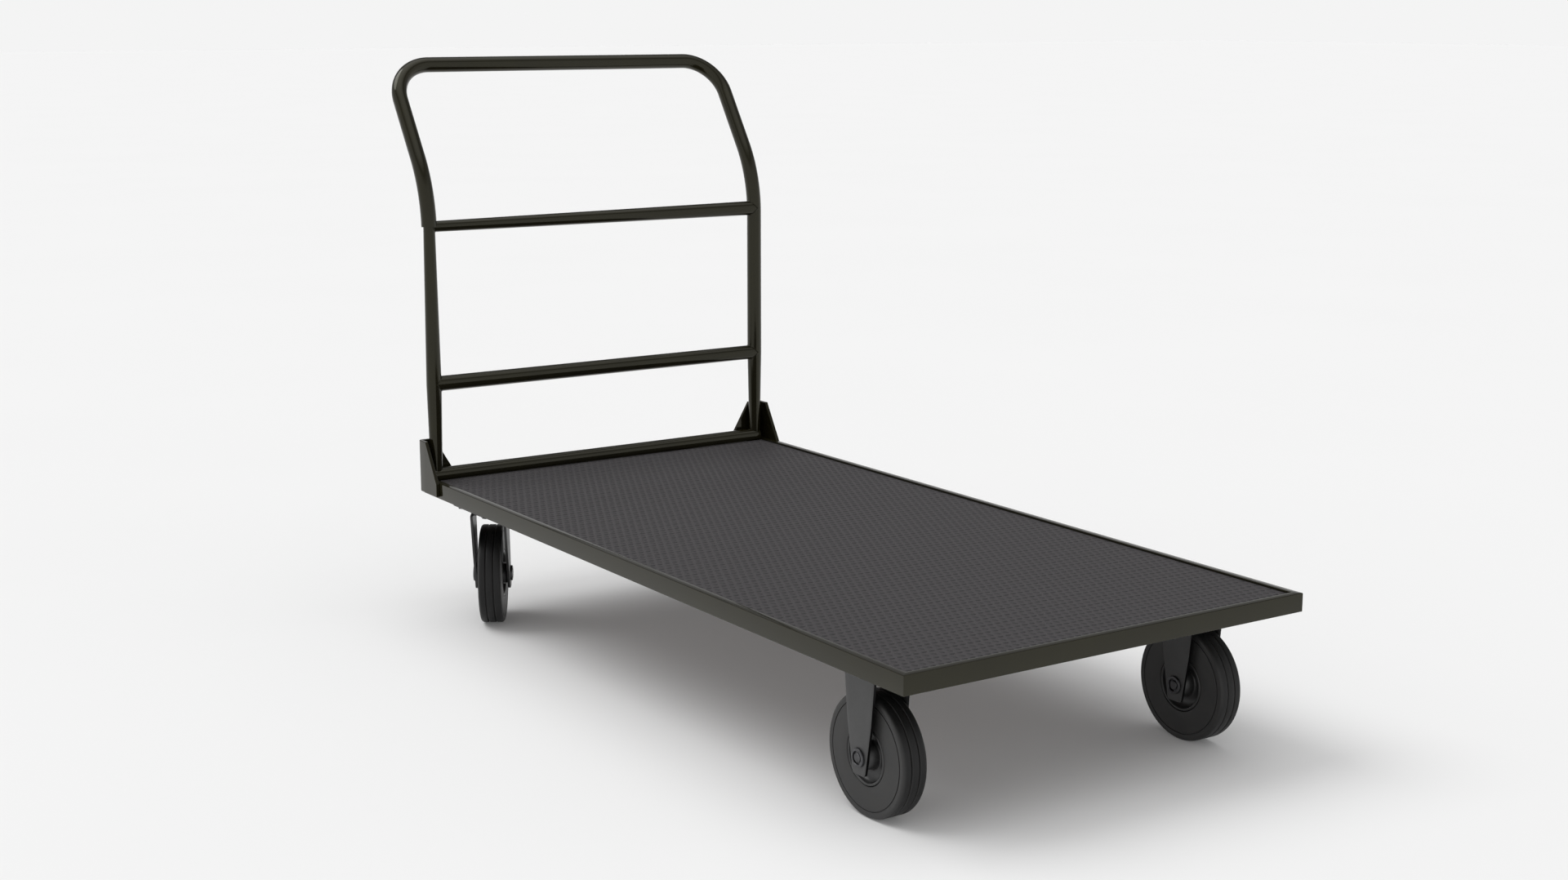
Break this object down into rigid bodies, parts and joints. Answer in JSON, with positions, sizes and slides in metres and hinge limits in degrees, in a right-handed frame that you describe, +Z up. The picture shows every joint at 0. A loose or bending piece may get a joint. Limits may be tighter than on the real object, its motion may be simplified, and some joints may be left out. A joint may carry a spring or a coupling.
{
  "type": "platform truck",
  "caption": "Flat platform truck with a rubber-matted deck, a bent-tube push handle with cross rails at one end, fixed casters in front and swivel casters behind.",
  "frame": {"origin": "on the floor under the middle of the whole truck's box, handle overhang included", "axes": "+Z up, +Y towards the open end of the deck, away from the handle, +X to the left of someone who faces the handle from the open end"},
  "size_m": [0.7546, 1.6295, 1.0206],
  "materials": {
    "frame_paint": "gloss",
    "deck_board": "matte",
    "mat_rubber": "matte",
    "tyre_rubber": "matte",
    "rim_plastic": "satin",
    "fork_paint": "satin",
    "dark_zinc": "satin"
  },
  "bodies": {
    "chassis": {"side_rail_left": "frame_paint", "side_rail_right": "frame_paint", "end_rail_front": "frame_paint", "end_rail_rear": "frame_paint", "cross_beam_front": "frame_paint", "cross_beam_front_inner": "frame_paint", "cross_beam_middle": "frame_paint", "cross_beam_rear_inner": "frame_paint", "cross_beam_rear": "frame_paint", "corner_bracket_left": "frame_paint", "corner_bracket_right": "frame_paint", "handle_bow": "frame_paint", "handle_post_left": "frame_paint", "rail_upper": "frame_paint", "rail_middle": "frame_paint", "rail_foot": "frame_paint", "deck_panel": "deck_board", "deck_mat": "mat_rubber", "fork_front_left": "fork_paint", "top_plate_front_left": "fork_paint", "axle_bush_front_left": "dark_zinc", "axle_bolt_front_left": "dark_zinc", "axle_nut_front_left": "dark_zinc", "fork_front_right": "fork_paint", "top_plate_front_right": "fork_paint", "axle_bush_front_right": "dark_zinc", "axle_bolt_front_right": "dark_zinc", "axle_nut_front_right": "dark_zinc", "top_plate_rear_left": "fork_paint", "top_plate_rear_right": "fork_paint", "swivel_race_rear_left": "dark_zinc", "kingpin_rear_left": "dark_zinc", "kingpin_nut_rear_left": "dark_zinc", "swivel_race_rear_right": "dark_zinc", "kingpin_rear_right": "dark_zinc", "kingpin_nut_rear_right": "dark_zinc"},
    "caster_rear_left": {"fork_rear_left": "fork_paint", "axle_bush_rear_left": "dark_zinc", "axle_bolt_rear_left": "dark_zinc", "axle_nut_rear_left": "dark_zinc"},
    "caster_rear_right": {"fork_rear_right": "fork_paint", "axle_bush_rear_right": "dark_zinc", "axle_bolt_rear_right": "dark_zinc", "axle_nut_rear_right": "dark_zinc"},
    "wheel_front_left": {"tyre_front_left": "tyre_rubber", "rim_front_left": "rim_plastic"},
    "wheel_front_right": {"tyre_front_right": "tyre_rubber", "rim_front_right": "rim_plastic"},
    "wheel_rear_left": {"tyre_rear_left": "tyre_rubber", "rim_rear_left": "rim_plastic"},
    "wheel_rear_right": {"tyre_rear_right": "tyre_rubber", "rim_rear_right": "rim_plastic"}
  },
  "joints": [
    {"name": "front_left_spin", "type": "hinge", "parent": "chassis", "child": "wheel_front_left", "pos_m": [0.2984, 0.65988, 0.09], "axis": [1, 0, 0], "continuous": true},
    {"name": "front_right_spin", "type": "hinge", "parent": "chassis", "child": "wheel_front_right", "pos_m": [-0.2984, 0.65988, 0.09], "axis": [1, 0, 0], "continuous": true},
    {"name": "rear_left_swivel", "type": "hinge", "parent": "chassis", "child": "caster_rear_left", "pos_m": [0.3222, -0.49612, 0.2], "axis": [0, 0, 1], "continuous": true},
    {"name": "rear_left_spin", "type": "hinge", "parent": "caster_rear_left", "child": "wheel_rear_left", "pos_m": [0.29884, -0.53458, 0.09], "axis": [0.8547, -0.5191, 0], "continuous": true},
    {"name": "rear_right_swivel", "type": "hinge", "parent": "chassis", "child": "caster_rear_right", "pos_m": [-0.3222, -0.49612, 0.2], "axis": [0, 0, 1], "continuous": true},
    {"name": "rear_right_spin", "type": "hinge", "parent": "caster_rear_right", "child": "wheel_rear_right", "pos_m": [-0.29884, -0.53458, 0.09], "axis": [0.8547, 0.5191, 0], "continuous": true}
  ]
}
